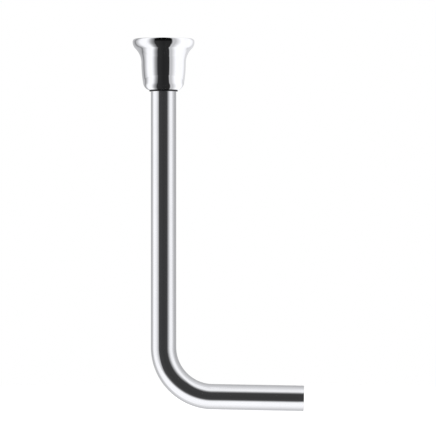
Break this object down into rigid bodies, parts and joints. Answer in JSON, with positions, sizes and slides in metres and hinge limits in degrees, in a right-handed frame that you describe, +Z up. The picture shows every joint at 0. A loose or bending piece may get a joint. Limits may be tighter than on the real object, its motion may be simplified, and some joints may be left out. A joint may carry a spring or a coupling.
{
  "type": "basin waste tube",
  "caption": "Chromed basin waste tube with one 90-degree bend, a captive union nut and a sliding bell cover on its inlet end.",
  "frame": {"origin": "centre of the seal washer's upper face, where the basin waste's end seats inside the union nut", "axes": "+Z up along the inlet leg and out of the union nut; +X the way the outlet leg runs, seen from above"},
  "size_m": [0.2168, 0.0782, 0.4709],
  "materials": {
    "tube_chrome": "polished chrome plate on brass",
    "bell_chrome": "polished chrome plate on spun brass",
    "nut_chrome": "chrome plate on machined brass",
    "ring_rubber": "moulded black rubber",
    "seal_rubber": "cut black rubber sheet"
  },
  "bodies": {
    "tube": {"bent_tube": "tube_chrome", "seal_washer": "seal_rubber"},
    "nut": {"union_nut": "nut_chrome"},
    "ring": {"neck_ring": "ring_rubber"},
    "bell": {"bell_cover": "bell_chrome"}
  },
  "joints": [
    {"name": "bell_slide", "type": "slide", "parent": "tube", "child": "ring", "axis": [0, 0, 1], "range_m": [-0.32, 0]},
    {"name": "bell_spin", "type": "hinge", "parent": "ring", "child": "bell", "pos_m": [0, 0, 0], "axis": [0, 0, 1], "continuous": true},
    {"name": "nut_spin", "type": "hinge", "parent": "tube", "child": "nut", "pos_m": [0, 0, 0], "axis": [0, 0, 1], "continuous": true}
  ]
}
